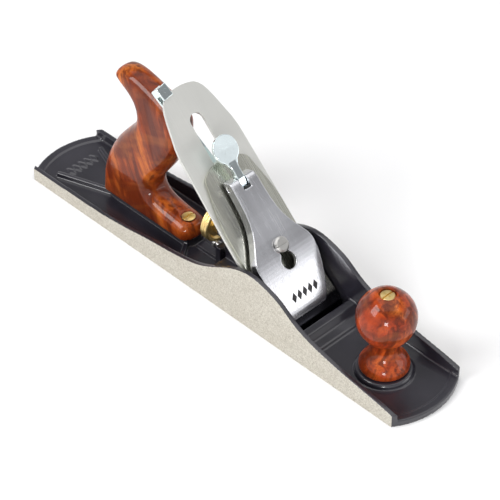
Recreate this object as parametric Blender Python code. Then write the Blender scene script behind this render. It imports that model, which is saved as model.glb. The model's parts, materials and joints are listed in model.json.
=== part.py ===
"""Bench hand plane of the jack size: casting, frog, irons, lever cap, adjusters, tote and knob.

Units are metres, +Z is up, +X points to the toe, +Y to the left cheek.
The origin is the centre of the sole.
"""
import math

import bmesh
import bpy
import numpy as np
from mathutils import Matrix, Vector

MM = 0.001
GAP = 0.3 * MM                  # clearance between pieces that bear on each other

# ---- body casting ----
BODY_L = 360.0 * MM             # toe to heel, end arcs included
BODY_W = 63.5 * MM
END_SAG = 10.2 * MM             # how far each end arc stands out past the cheek corners
WALL_T = 3.4 * MM
FLOOR_Z = 3.8 * MM
RIM_Z = 4.6 * MM
RIM_W = 5.5 * MM
CHEEK_H = 46.2 * MM             # highest point of the cheeks
CORNER_H = 9.9 * MM             # cheek height at the toe and heel corners
MOUTH_X = 73.6 * MM             # where the iron's upper face meets the sole
MOUTH_OPEN = 2.7 * MM           # from the edge of the iron forward to the mouth's front wall
MOUTH_SIDE = 0.35 * MM
RIB_Z = 9.6 * MM                # cross rib in front of the mouth
SEAT_FRONT_Z = 8.0 * MM
SEAT_REAR_Z = 14.0 * MM
SEAT_STEP_X = MOUTH_X - 41.6 * MM
SEAT_REAR_X = MOUTH_X - 70.6 * MM
FROG_SIDE = 4.85 * MM           # from the frog to each cheek's inner face
FROG_HALF_W = BODY_W / 2 - WALL_T - FROG_SIDE
SEAT_HALF_W = FROG_HALF_W - 1.5 * MM
KNOB_X = BODY_L / 2 - 46.1 * MM
BOSS_R = 19.2 * MM
BOSS_Z = 7.6 * MM
PAD_HALF_W = 8.0 * MM
PAD_Z = 9.9 * MM
V_RIB_T = 3.2 * MM
V_RIB_Z = 7.4 * MM
V_RIB_X = 22.0 * MM - BODY_L / 2    # where the two splayed ribs end
MARK_COUNT = 5                  # plain cast lozenges across the heel
MARK_STEP = 5.2 * MM
MARK_X = 25.5 * MM - BODY_L / 2
MARK_L = 4.4 * MM
MARK_Z = 0.8 * MM

# ---- bed: distances up the bed are measured from the mouth, "n" is square to the bed ----
BED_ANGLE = math.radians(45.0)
IRON_T = 2.0 * MM
IRON_W = BODY_W - 2 * WALL_T - 2.4 * MM
IRON_EDGE = 0.2 * MM
IRON_TOP = 180.4 * MM
IRON_BEVEL = 4.2 * MM
SLOT_W = 11.0 * MM
SLOT_LO = 32.0 * MM
SLOT_HI = 160.4 * MM
CAP_IRON_T = 2.0 * MM
CAP_IRON_TOP = 125.8 * MM
CAP_SEAT_N = GAP + CAP_IRON_T   # the cap iron's upper face
HUMP_N = 1.9 * MM               # how far the cap iron's hump stands off the iron
HUMP_S = 11.0 * MM
CAP_SCREW_S = 41.0 * MM
CAP_SCREW_R = 3.0 * MM
CAP_SCREW_HEAD_R = 7.6 * MM
CAP_SCREW_HEAD_H = 2.2 * MM
LEVER_SCREW_S = 59.5 * MM
LEVER_SCREW_R = 3.0 * MM
LEVER_SCREW_HEAD_R = 5.3 * MM
LEVER_SCREW_HEAD_H = 2.6 * MM

# ---- frog ----
FROG_TOP_HALF_W = 15.5 * MM
FROG_TOP = 106.0 * MM
FROG_PLATE_T = 7.0 * MM
FROG_REAR_X = MOUTH_X - 74.6 * MM
FROG_TRAVEL = 1.5 * MM
FROG_SCREW_X = MOUTH_X - 47.6 * MM
FROG_SCREW_Y = 14.6 * MM
FROG_SCREW_R = 2.5 * MM
FROG_SCREW_HEAD_R = 4.4 * MM
FROG_SHELF_Z = 22.0 * MM
WASHER_R = 5.5 * MM
WASHER_T = 1.2 * MM
CHANNEL_HALF_W = 12.5 * MM
CHANNEL_LO = 87.0 * MM

# ---- depth adjustment ----
STUD_Z = 35.5 * MM
STUD_R = 3.1 * MM
NUT_R = 14.0 * MM
NUT_REAR_X = MOUTH_X - 94.4 * MM
NUT_RIM_T = 6.4 * MM
NUT_HUB_R = 7.0 * MM
NUT_NECK_R = STUD_R + 1.6 * MM
NUT_FLANGE_T = 1.4 * MM
GROOVE_W = 6.4 * MM
FORK_T = 2.0 * MM
FORK_DROP = 2.6 * MM            # room above the nut's neck for the yoke's rock
YOKE_S = 81.4 * MM
YOKE_N = -IRON_T - 7.3 * MM
YOKE_W = 6.4 * MM
YOKE_PIN_R = 1.6 * MM
FINGER_T = 3.4 * MM
FINGER_SLOT = FINGER_T + 1.0 * MM

# ---- frog adjustment ----
ADJ_Z = STUD_Z - NUT_R - 6.0 * MM   # the screw passes below the depth nut
ADJ_R = 2.4 * MM
ADJ_HEAD_R = 3.4 * MM
LUG_X = FROG_REAR_X - 10.6 * MM
LUG_T = 5.0 * MM
LUG_Z = ADJ_Z + 4.5 * MM
PLATE_T = 1.5 * MM
PLATE_SCREW_Z = 25.0 * MM
PLATE_SCREW_R = 1.5 * MM

# ---- lateral adjustment ----
LATERAL_S = 100.5 * MM
ROLLER_S = 93.5 * MM
ROLLER_R = 3.6 * MM
LATERAL_ANGLE = math.radians(8.6)
LATERAL_T = 1.8 * MM
LATERAL_W = 9.0 * MM
LATERAL_N = -IRON_T - 3.2 * MM  # underside of the lever
LATERAL_TIP = 187.2 * MM
LATERAL_PIN_R = 2.0 * MM
TAB_L = 9.2 * MM
TAB_SIDE_L = 5.6 * MM            # the tab's side stays above the iron's top
TAB_W = 8.4 * MM
TAB_N = 2.6 * MM

# ---- lever cap ----
CAP_LO = 12.0 * MM
CAP_HI = 112.4 * MM
CAP_W = IRON_W - 3.9 * MM       # widest place of the lever cap
CAP_WALL = 2.2 * MM
CAP_FACE_N = CAP_SEAT_N + 10.3 * MM
KEY_S = 48.2 * MM
KEY_R = LEVER_SCREW_HEAD_R + 0.5 * MM
NOTCH_LO = 101.6 * MM
NOTCH_W = 6.4 * MM
CAM_S = 106.4 * MM
CAM_N = CAP_SEAT_N + 5.7 * MM
CAM_R = 3.5 * MM
CAM_THROW = 0.7 * MM
CAM_PIN_R = 1.5 * MM
CAM_W = NOTCH_W - 0.8 * MM
DISC_S = 130.2 * MM
DISC_R = 9.8 * MM
DISC_T = 2.4 * MM
DISC_N = CAP_SEAT_N + 7.1 * MM
DISC_LIFT = 2.8 * MM            # how far the disc's tip turns up off the bed
SPRING_T = 0.8 * MM
SPRING_W = 8.4 * MM
SPRING_S = 82.0 * MM
RIVET_R = 1.5 * MM

# ---- wooden handles ----
KNOB_H = 60.6 * MM
KNOB_R = 19.8 * MM
ROD_R = 3.0 * MM
KNOB_BORE_R = ROD_R + 2 * GAP
NUT_SLEEVE_R = ROD_R + 1.4 * MM
NUT_HEAD_R = NUT_SLEEVE_R + 0.9 * MM
NUT_HEAD_H = 2.6 * MM
NUT_SLEEVE_L = 12.0 * MM
HEAD_SLOT_W = 1.3 * MM
HEAD_SLOT_D = 1.3 * MM
TOTE_T = 23.0 * MM
TOTE_ROUND = 7.6 * MM
HORN_LOW = 90.0 * MM            # the grip thins from here up to the horn
HORN_HIGH = 116.0 * MM
HORN_THIN = 0.16
HEEL_SHIFT = MOUTH_X - 73.6 * MM    # the tables of the cheek and the tote follow the mouth
TOTE_ROD_X = HEEL_SHIFT - 107.0 * MM
TOTE_ROD_TOP_X = HEEL_SHIFT - 60.5 * MM
TOTE_ROD_TOP_Z = 109.5 * MM
TOE_SCREW_X = HEEL_SHIFT - 46.4 * MM
TOE_SCREW_Z = 22.6 * MM
TOE_SCREW_R = 2.2 * MM
TOE_SCREW_HEAD_R = 4.7 * MM

SEG = 32                        # sides of round pieces
FINE = 40                       # sides of the large turned pieces
COARSE = 20                     # sides of small pins and holes
MERGE = 0.01 * MM

for thing in list(bpy.data.objects):
    bpy.data.objects.remove(thing, do_unlink=True)


# ---- materials ----
def make_material(name, colour, metallic, roughness):
    mat = bpy.data.materials.new(name)
    mat.use_nodes = True
    shader = mat.node_tree.nodes["Principled BSDF"]
    shader.inputs["Base Color"].default_value = (*colour, 1.0)
    shader.inputs["Metallic"].default_value = metallic
    shader.inputs["Roughness"].default_value = roughness
    mat.diffuse_color = (*colour, 1.0)
    return mat


FINISH = {
    "iron": ((0.05, 0.045, 0.055), 0.2, 0.35),
    "steel": ((0.55, 0.55, 0.53), 1.0, 0.35),
    "chrome": ((0.78, 0.80, 0.80), 1.0, 0.12),
    "nickel": ((0.66, 0.66, 0.66), 1.0, 0.25),
    "brass": ((0.80, 0.58, 0.22), 1.0, 0.25),
    "wood": ((0.46, 0.16, 0.05), 0.0, 0.3),
}


# ---- mesh helpers ----
def new_object(name, bm):
    bmesh.ops.recalc_face_normals(bm, faces=bm.faces)
    mesh = bpy.data.meshes.new(name)
    bm.to_mesh(mesh)
    bm.free()
    obj = bpy.data.objects.new(name, mesh)
    bpy.context.scene.collection.objects.link(obj)
    return obj


def prism(name, points, low, high, axis="Z", frame=None):
    """Extrude a closed 2-D outline along one axis; the outline's two coordinates are the other axes."""
    order = {"Z": (0, 1, 2), "Y": (0, 2, 1), "X": (1, 2, 0)}[axis]
    bm = bmesh.new()
    rings = []
    for level in (low, high):
        ring = []
        for a, b in points:
            co = [0.0, 0.0, 0.0]
            co[order[0]], co[order[1]], co[order[2]] = a, b, level
            ring.append(bm.verts.new(co))
        rings.append(ring)
    count = len(points)
    bm.faces.new(rings[0][::-1])
    bm.faces.new(rings[1])
    for i in range(count):
        j = (i + 1) % count
        bm.faces.new((rings[0][i], rings[0][j], rings[1][j], rings[1][i]))
    obj = new_object(name, bm)
    if frame is not None:
        obj.data.transform(frame)
        fix_normals(obj)
    return obj


def box(name, low, high, frame=None):
    pts = [(low[0], low[1]), (high[0], low[1]), (high[0], high[1]), (low[0], high[1])]
    return prism(name, pts, low[2], high[2], "Z", frame)


def lathe(name, profile, frame=None, segments=SEG):
    """Turn a list of (radius, height) about Z; ends with radius 0 close on the axis."""
    bm = bmesh.new()
    rings = []
    for radius, height in profile:
        if radius <= 0:
            rings.append([bm.verts.new((0, 0, height))])
            continue
        ring = []
        for k in range(segments):
            a = 2 * math.pi * k / segments
            ring.append(bm.verts.new((radius * math.cos(a), radius * math.sin(a), height)))
        rings.append(ring)
    closed = len(rings[0]) > 1
    pairs = list(zip(rings, rings[1:]))
    if closed:
        pairs.append((rings[-1], rings[0]))
    for lower, upper in pairs:
        for k in range(segments):
            j = (k + 1) % segments
            if len(lower) == 1:
                bm.faces.new((lower[0], upper[j], upper[k]))
            elif len(upper) == 1:
                bm.faces.new((lower[k], lower[j], upper[0]))
            else:
                bm.faces.new((lower[k], lower[j], upper[j], upper[k]))
    obj = new_object(name, bm)
    if frame is not None:
        obj.data.transform(frame)
        fix_normals(obj)
    return obj


def cylinder(name, radius, low, high, frame=None, segments=SEG):
    return lathe(name, [(0, low), (radius, low), (radius, high), (0, high)], frame, segments)


def fix_normals(obj):
    bm = bmesh.new()
    bm.from_mesh(obj.data)
    bmesh.ops.recalc_face_normals(bm, faces=bm.faces)
    bm.to_mesh(obj.data)
    bm.free()


def apply_modifiers(obj):
    graph = bpy.context.evaluated_depsgraph_get()
    graph.update()
    mesh = bpy.data.meshes.new_from_object(obj.evaluated_get(graph))
    obj.modifiers.clear()
    old = obj.data
    obj.data = mesh
    bpy.data.meshes.remove(old)


def clean(obj):
    """Close the hairline seams a cut can leave where edges nearly meet."""
    bm = bmesh.new()
    bm.from_mesh(obj.data)
    bmesh.ops.remove_doubles(bm, verts=bm.verts, dist=MERGE)
    bmesh.ops.dissolve_degenerate(bm, edges=bm.edges, dist=MERGE)
    bm.to_mesh(obj.data)
    bm.free()


def combine(obj, other, operation):
    other.hide_render = True
    other.display_type = "WIRE"
    mod = obj.modifiers.new("cut", "BOOLEAN")
    mod.operation = operation
    mod.solver = "EXACT"
    mod.object = other
    apply_modifiers(obj)
    clean(obj)
    bpy.data.objects.remove(other, do_unlink=True)
    return obj


def cut(obj, *others):
    for other in others:
        combine(obj, other, "DIFFERENCE")
    return obj


def join(obj, *others):
    for other in others:
        combine(obj, other, "UNION")
    return obj


def keep(obj, *others):
    for other in others:
        combine(obj, other, "INTERSECT")
    return obj


def soften(obj, width, segments=2, degrees=40.0):
    mod = obj.modifiers.new("edge", "BEVEL")
    mod.width = width
    mod.segments = segments
    mod.limit_method = "ANGLE"
    mod.angle_limit = math.radians(degrees)
    mod.use_clamp_overlap = True
    mod.miter_outer = "MITER_ARC"
    apply_modifiers(obj)
    return obj


def finish(obj, finish_name, origin=(0, 0, 0)):
    """Give the piece its finish and put its origin on the stated point."""
    origin = Vector(origin)
    obj.data.transform(Matrix.Translation(-origin))
    obj.location = origin
    mat = make_material(obj.name, *FINISH[finish_name])
    obj.data.materials.clear()
    obj.data.materials.append(mat)
    for poly in obj.data.polygons:
        poly.use_smooth = False
    return obj


def spline(points, steps=5, closed=False):
    """Catmull-Rom curve through the points."""
    pts = [np.array(p, float) for p in points]
    count = len(pts)
    out = []
    spans = count if closed else count - 1
    for i in range(spans):
        if closed:
            p0, p1, p2, p3 = (pts[(i + k) % count] for k in (-1, 0, 1, 2))
        else:
            p0, p1, p2, p3 = pts[max(i - 1, 0)], pts[i], pts[i + 1], pts[min(i + 2, count - 1)]
        for k in range(steps):
            t = k / steps
            out.append(tuple(0.5 * (2 * p1 + (p2 - p0) * t + (2 * p0 - 5 * p1 + 4 * p2 - p3) * t ** 2
                                    + (3 * p1 - p0 - 3 * p2 + p3) * t ** 3)))
    if not closed:
        out.append(tuple(pts[-1]))
    return out


def millimetres(points, dx=0.0, dz=0.0):
    return [(a * MM + dx, b * MM + dz) for a, b in points]


# ---- bed frame: local x runs down the bed, local z is square to it ----
BED = Matrix.Translation((MOUTH_X, 0, 0)) @ Matrix.Rotation(BED_ANGLE, 4, "Y")


def bed_point(s, y, n):
    return BED @ Vector((-s, y, n))


def bed_axis(s, y=0.0):
    """Frame whose Z is square to the bed at distance s up it."""
    return BED @ Matrix.Translation((-s, y, 0))


def along_x(x, y, z):
    """Frame at a point whose Z runs along world +X."""
    return Matrix.Translation((x, y, z)) @ Matrix.Rotation(math.radians(90), 4, "Y")


def along_y(point):
    return Matrix.Translation(point) @ Matrix.Rotation(math.radians(-90), 4, "X")


def upright(x, y, z=0.0):
    return Matrix.Translation((x, y, z))


def slot_outline(low, high, width, segments=12):
    """Round-ended slot along the bed, as (local x, y)."""
    r = width / 2
    pts = []
    for k in range(segments + 1):
        a = math.pi * k / segments - math.pi / 2
        pts.append((-(low + r) + r * math.cos(a), r * math.sin(a)))
    for k in range(segments + 1):
        a = math.pi * k / segments + math.pi / 2
        pts.append((-(high - r) + r * math.cos(a), r * math.sin(a)))
    return pts


def mirrored(half):
    """Closed outline from (s, half width) pairs that run up the bed."""
    return [(-s, w) for s, w in half] + [(-s, -w) for s, w in reversed(half)]


def driver_slot(obj, frame, top, radius, across="Y", depth=HEAD_SLOT_D):
    w = HEAD_SLOT_W / 2
    low, high = (-w, -radius * 1.3), (w, radius * 1.3)
    if across == "X":
        low, high = (low[1], low[0]), (high[1], high[0])
    return cut(obj, box("slot", (*low, top - depth), (*high, top + depth), frame))


# ---- body casting ----
CORNER_X = BODY_L / 2 - END_SAG
CHEEK_SHAPE = [                 # (x, height above the sole), from heel corner to toe corner
    (-120, 10.9), (-98.5, 11.6), (-89, 12.5), (-76.5, 13.9), (-68.8, 14.9), (-61, 16.2),
    (-51, 17.6), (-38.5, 19.0), (-26, 20.6), (-16.3, 22.3), (-7.7, 24.4), (0.9, 27.6),
    (10.6, 32.8), (21, 38.8), (28.4, 42.4), (34.3, 44.6), (40, 45.9), (46, 46.2),
    (51.5, 45.5), (57, 44.2), (62, 42.6), (67.5, 40.5), (72, 38.1), (77, 34.7),
    (82.7, 30.7), (88, 27.9), (93.6, 25.5), (102, 22.7), (115, 19.5), (126, 17.3),
    (136, 15.6), (147, 13.9), (157, 12.4),
]


def end_arc(sign, inset=0.0, steps=28):
    half = BODY_W / 2
    radius = (half ** 2 + END_SAG ** 2) / (2 * END_SAG)
    centre = sign * (CORNER_X + END_SAG - radius)
    reach = radius - inset
    span = math.asin(min(half / radius, 1.0))
    return [(centre + sign * reach * math.cos(a), sign * reach * math.sin(a))
            for a in (span * (2 * k / steps - 1) for k in range(steps + 1))]


def build_body():
    outline = end_arc(1) + end_arc(-1)
    body = prism("body", outline, 0, CHEEK_H + FLOOR_Z)
    rise = CHEEK_H / (46.2 * MM)
    shape = [(x * MM + HEEL_SHIFT, z * MM * rise) for x, z in CHEEK_SHAPE]
    shape = [p for p in shape if abs(p[0]) < CORNER_X - WALL_T]
    reach = BODY_L / 2 + WALL_T
    top = spline([(-CORNER_X, CORNER_H), *shape, (CORNER_X, CORNER_H)], 2)
    side = [(-reach, -WALL_T), (reach, -WALL_T), (reach, CORNER_H), *reversed(top),
            (-reach, CORNER_H)]
    keep(body, prism("side", side, -BODY_W, BODY_W, "Y"))
    inner = BODY_W / 2 - WALL_T
    cut(body, box("pocket", (-BODY_L, -inner, RIM_Z), (BODY_L, inner, BODY_W)))
    recess = end_arc(1, RIM_W) + end_arc(-1, RIM_W)
    floor = prism("floor", recess, FLOOR_Z, BODY_W)
    keep(floor, box("floor_side", (-BODY_L, -inner, -RIM_Z), (BODY_L, inner, BODY_W)))
    cut(body, floor)

    root = FLOOR_Z / 2
    mouth_front = MOUTH_X + MOUTH_OPEN
    rib = [(MOUTH_X, root), (MOUTH_X, RIB_Z), (mouth_front + 6.2 * MM, RIB_Z),
           (mouth_front + 9.8 * MM, FLOOR_Z + 1.8 * MM), (mouth_front + 17 * MM, FLOOR_Z + 1.4 * MM),
           (mouth_front + 18.4 * MM, FLOOR_Z - 0.1 * MM), (mouth_front + 18.4 * MM, root)]
    join(body, prism("rib", rib, -inner - root, inner + root, "Y"))
    seat = [(SEAT_REAR_X, root), (SEAT_REAR_X, SEAT_REAR_Z), (SEAT_STEP_X, SEAT_REAR_Z),
            (SEAT_STEP_X, SEAT_FRONT_Z), (MOUTH_X, SEAT_FRONT_Z), (MOUTH_X, root)]
    join(body, prism("seat", seat, -SEAT_HALF_W, SEAT_HALF_W, "Y"))
    low_seat = [(SEAT_STEP_X + 8 * MM, root), (SEAT_STEP_X + 8 * MM, SEAT_FRONT_Z - 1.5 * MM),
                (MOUTH_X, SEAT_FRONT_Z - 1.5 * MM), (MOUTH_X, root)]
    join(body, prism("low_seat", low_seat, -inner - root, inner + root, "Y"))
    join(body, box("lug", (LUG_X - LUG_T / 2, -6.5 * MM, root), (LUG_X + LUG_T / 2, 6.5 * MM, LUG_Z)))
    spine = [(LUG_X - 24 * MM, root), (LUG_X - 24 * MM, V_RIB_Z - 1 * MM),
             (SEAT_REAR_X + root, V_RIB_Z - 1 * MM), (SEAT_REAR_X + root, root)]
    join(body, prism("spine", spine, -3.2 * MM, 3.2 * MM, "Y"))
    boss = [(0, root), (BOSS_R, root), (BOSS_R, BOSS_Z - 1.6 * MM), (BOSS_R - 1.2 * MM, BOSS_Z),
            (0, BOSS_Z)]
    join(body, lathe("boss", boss, upright(KNOB_X, 0), FINE))

    pad = [(HEEL_SHIFT - x * MM, w * MM) for x, w in
           ((38, 4), (40, 7), (44, 8), (60, 8), (110, 8), (118, 7.2), (122, 5), (123.5, 2))]
    scale = PAD_HALF_W / (8 * MM)
    pad = [(x, w * scale) for x, w in pad] + [(x, -w * scale) for x, w in reversed(pad)]
    join(body, prism("pad", pad, root, PAD_Z))
    for side_name, sign in (("near", -1), ("far", 1)):
        start = Vector((HEEL_SHIFT - 113 * MM, sign * 4 * MM))
        end = Vector((V_RIB_X, sign * 20 * MM))
        across = Vector((start.y - end.y, end.x - start.x)).normalized() * V_RIB_T / 2
        quad = [tuple(start + across), tuple(end + across), tuple(end - across), tuple(start - across)]
        join(body, prism("v_rib_" + side_name, quad, root, V_RIB_Z))
        brace = [(HEEL_SHIFT - 46 * MM, sign * 4 * MM), (HEEL_SHIFT - 28 * MM, sign * (inner + root)),
                 (HEEL_SHIFT - 24 * MM, sign * (inner + root)), (HEEL_SHIFT - 42 * MM, sign * 4 * MM)]
        join(body, prism("brace_" + side_name, brace, root, V_RIB_Z - 1.4 * MM))
    for k in range(MARK_COUNT):
        y = (k - (MARK_COUNT - 1) / 2) * MARK_STEP
        lozenge = [(MARK_X - MARK_L, y), (MARK_X, y + MARK_L / 2),
                   (MARK_X + MARK_L, y), (MARK_X, y - MARK_L / 2)]
        join(body, prism("cast_mark", lozenge, root, FLOOR_Z + MARK_Z))

    slack = IRON_T * math.sqrt(2) + FROG_TRAVEL + 0.6 * MM
    rear, deep = MOUTH_X - slack, RIB_Z * 1.5
    mouth = [(rear + WALL_T, -WALL_T), (mouth_front, -WALL_T), (mouth_front, deep), (rear - deep, deep)]
    mouth_half = IRON_W / 2 + MOUTH_SIDE + 0.5 * MM
    cut(body, prism("mouth", mouth, -mouth_half, mouth_half, "Y"))
    hole_r = ROD_R + GAP
    cut(body, cylinder("knob_hole", hole_r, 2 * MM, BOSS_Z * 2, upright(KNOB_X, 0)),
        cylinder("toe_hole", TOE_SCREW_R + GAP, 3 * MM, PAD_Z * 2, upright(TOE_SCREW_X, 0)),
        cylinder("tote_hole", hole_r, -0.5 * MM, 3 * PAD_Z, TOTE_ROD_FRAME),
        cylinder("adjust_hole", ADJ_R + GAP, -LUG_T, LUG_T, along_x(LUG_X, 0, ADJ_Z)))
    for sign in (-1, 1):
        cut(body, cylinder("screw_hole", FROG_SCREW_R + GAP, 3 * MM, SEAT_REAR_Z * 2,
                           upright(FROG_SCREW_X, sign * FROG_SCREW_Y)))
    return finish(body, "iron")


# ---- tote ----
TOTE_SHAPE = [                  # (x, z) side outline, rear base to front base
    (-121.6, 4), (-122.4, 11), (-122.7, 18), (-121.9, 27), (-119, 38), (-114.5, 49), (-108, 60),
    (-101, 69), (-94.6, 76.5), (-89.6, 83), (-87.4, 89), (-88, 95), (-91.6, 100.2), (-97, 104),
    (-102.4, 107.4), (-106, 111.2), (-107, 115.2), (-104.6, 118.6), (-99.4, 120.6), (-92, 121),
    (-83, 119.4), (-72, 116.2), (-60, 112), (-51.5, 107.4), (-47.4, 102), (-46.6, 95), (-48, 86),
    (-51.5, 76), (-56, 66.5), (-61, 58), (-67, 49.5), (-72.3, 42), (-75.2, 36), (-74.2, 30.5),
    (-70, 26.9), (-62, 24.8), (-52, 23.4), (-44, 22.3), (-39.4, 19.6), (-37.4, 15), (-37, 10), (-37, 4),
]
TOTE_ROD_LEAN = math.atan2(TOTE_ROD_TOP_X - TOTE_ROD_X, TOTE_ROD_TOP_Z - FLOOR_Z)
TOTE_ROD_FRAME = Matrix.Translation((TOTE_ROD_X, 0, FLOOR_Z)) @ Matrix.Rotation(TOTE_ROD_LEAN, 4, "Y")
TOTE_ROD_LEN = math.hypot(TOTE_ROD_TOP_X - TOTE_ROD_X, TOTE_ROD_TOP_Z - FLOOR_Z)


def rounded_slab(name, outline, thickness, round_in, round_out, layers=5):
    """Extrude an outline along Y with its rim rounded over, less so where the outline is tight."""
    pts = np.array(outline)
    ahead, behind = np.roll(pts, -1, 0), np.roll(pts, 1, 0)
    tangent = ahead - behind
    tangent /= np.linalg.norm(tangent, axis=1)[:, None]
    area = np.sum(pts[:, 0] * ahead[:, 1] - ahead[:, 0] * pts[:, 1])
    inward = np.stack((-tangent[:, 1], tangent[:, 0]), 1) * (1 if area > 0 else -1)
    limit = np.full(len(pts), round_in)
    for i, point in enumerate(pts):
        while limit[i] > 0.1 * round_in:
            tip = point + inward[i] * limit[i]
            if np.min(np.linalg.norm(pts - tip, axis=1)) > 0.985 * limit[i]:
                break
            limit[i] *= 0.95
    for _ in range(6):
        limit = np.minimum(limit, (np.roll(limit, 1) + limit + np.roll(limit, -1)) / 3)
    half = thickness / 2
    stations = []
    for k in range(layers + 1):
        a = math.pi / 2 * k / layers
        stations.append((half - round_out * (1 - math.sin(a)), 1 - math.cos(a)))
    levels = [(-y, f) for y, f in reversed(stations)] + stations
    bm = bmesh.new()
    rings = []
    for y, share in levels:
        ring_pts = pts + inward * (limit * share)[:, None]
        rings.append([bm.verts.new((p[0], y, p[1])) for p in ring_pts])
    count = len(pts)
    bm.faces.new(rings[0])
    bm.faces.new(rings[-1][::-1])
    for lower, upper in zip(rings, rings[1:]):
        for i in range(count):
            j = (i + 1) % count
            bm.faces.new((lower[i], upper[i], upper[j], lower[j]))
    return new_object(name, bm)


def build_tote():
    outline = spline(millimetres(TOTE_SHAPE, HEEL_SHIFT), 2)
    tote = rounded_slab("tote", outline, TOTE_T, TOTE_ROUND, TOTE_T / 2 - 1.5 * MM)
    for vert in tote.data.vertices:
        share = min(max((vert.co.z - HORN_LOW) / (HORN_HIGH - HORN_LOW), 0), 1)
        vert.co.y *= 1 - HORN_THIN * share * share * (3 - 2 * share)
    base = PAD_Z + GAP
    cut(tote, box("tote_base", (-BODY_L, -BODY_W, -BODY_W), (BODY_L, BODY_W, base)))
    bore = cylinder("bore", ROD_R + 2 * GAP, -20 * MM, TOTE_ROD_LEN + 30 * MM, TOTE_ROD_FRAME)
    pocket = cylinder("nut_pocket", NUT_HEAD_R + GAP, TOTE_ROD_LEN - 0.4 * MM, TOTE_ROD_LEN + 30 * MM,
                      TOTE_ROD_FRAME)
    sleeve = cylinder("sleeve_pocket", NUT_SLEEVE_R + GAP, TOTE_ROD_LEN - NUT_SLEEVE_L - 1 * MM,
                      TOTE_ROD_LEN + 1 * MM, TOTE_ROD_FRAME)
    screw = cylinder("screw_bore", TOE_SCREW_R + GAP, 0, 2 * TOE_SCREW_Z, upright(TOE_SCREW_X, 0))
    head = lathe("head_bore", [(0, TOE_SCREW_Z - 3.4 * MM), (TOE_SCREW_R + GAP, TOE_SCREW_Z - 3.4 * MM),
                               (TOE_SCREW_HEAD_R + GAP, TOE_SCREW_Z - 0.9 * MM),
                               (TOE_SCREW_HEAD_R + GAP, 2 * TOE_SCREW_Z), (0, 2 * TOE_SCREW_Z)],
                 upright(TOE_SCREW_X, 0))
    cut(tote, bore, pocket, sleeve, screw, head)
    return finish(tote, "wood")


def barrel_nut(name, frame, top, across):
    """Slotted brass nut: a head on a sleeve with a blind bore from below."""
    bore = ROD_R + GAP
    blind = top - NUT_HEAD_H - 1 * MM
    profile = [(0, blind), (bore, blind), (bore, top - NUT_SLEEVE_L),
               (NUT_SLEEVE_R, top - NUT_SLEEVE_L), (NUT_SLEEVE_R, top - NUT_HEAD_H),
               (NUT_HEAD_R, top - NUT_HEAD_H), (NUT_HEAD_R, top - 0.7 * MM),
               (NUT_HEAD_R * 0.86, top - 0.1 * MM), (0, top)]
    nut = lathe(name, profile, frame)
    return driver_slot(nut, frame, top, NUT_HEAD_R, across)


def build_tote_fittings():
    rod = cylinder("tote_rod", ROD_R, 0, TOTE_ROD_LEN - NUT_HEAD_H - 0.6 * MM, TOTE_ROD_FRAME)
    finish(rod, "steel")
    top = TOTE_ROD_LEN + NUT_HEAD_H
    nut = barrel_nut("tote_nut", TOTE_ROD_FRAME, top, "Y")
    finish(nut, "brass")
    frame = upright(TOE_SCREW_X, 0)
    profile = [(0, 3.4 * MM), (TOE_SCREW_R, 3.4 * MM), (TOE_SCREW_R, TOE_SCREW_Z - 3.1 * MM),
               (TOE_SCREW_HEAD_R, TOE_SCREW_Z - 0.6 * MM), (TOE_SCREW_HEAD_R, TOE_SCREW_Z - 0.1 * MM),
               (TOE_SCREW_HEAD_R * 0.55, TOE_SCREW_Z + 0.5 * MM), (0, TOE_SCREW_Z + 0.6 * MM)]
    screw = lathe("tote_toe_screw", profile, frame)
    driver_slot(screw, frame, TOE_SCREW_Z + 0.6 * MM, TOE_SCREW_HEAD_R, "Y")
    finish(screw, "brass")


# ---- knob ----
KNOB_SHAPE = [                  # (radius, height above the knob's base)
    (15.4, 0), (16.3, 0.7), (16.6, 2.4), (16.3, 4.4), (15.0, 7.0), (12.9, 9.7), (10.9, 12.4),
    (9.7, 15.2), (9.3, 18.0), (9.4, 20.6), (10.2, 22.9), (12.2, 25.2), (14.6, 27.6), (17.0, 31.0),
    (18.9, 35.4), (19.7, 39.8), (19.5, 44.8), (18.2, 49.2), (15.9, 53.2), (12.6, 56.8), (9.2, 59.2),
    (6.4, 60.6),
]


def build_knob():
    base = BOSS_Z + GAP
    wide, tall = KNOB_R / (19.8 * MM), KNOB_H / (60.6 * MM)
    skin = spline([(r * MM * wide, z * MM * tall + base) for r, z in KNOB_SHAPE], 1)
    seat = base + KNOB_H - 3.6 * MM
    inner = NUT_HEAD_R + GAP
    sleeve = NUT_SLEEVE_R + GAP
    low = seat - NUT_SLEEVE_L
    profile = [(KNOB_BORE_R, base), *skin, (inner, base + KNOB_H), (inner, seat), (sleeve, seat),
               (sleeve, low), (KNOB_BORE_R, low)]
    knob = lathe("knob", profile, upright(KNOB_X, 0), FINE)
    finish(knob, "wood")
    frame = upright(KNOB_X, 0)
    top = seat + GAP + NUT_HEAD_H
    rod = cylinder("knob_rod", ROD_R, 2.5 * MM, top - NUT_HEAD_H - 1.4 * MM, frame)
    finish(rod, "steel")
    nut = barrel_nut("knob_nut", frame, top, "Y")
    finish(nut, "brass")


# ---- frog ----
BED_UNDER = -(IRON_T + GAP)     # the frog's bed face, below the iron


def frog_xz(s, n):
    p = bed_point(s, 0, n)
    return (p.x, p.z)


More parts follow.
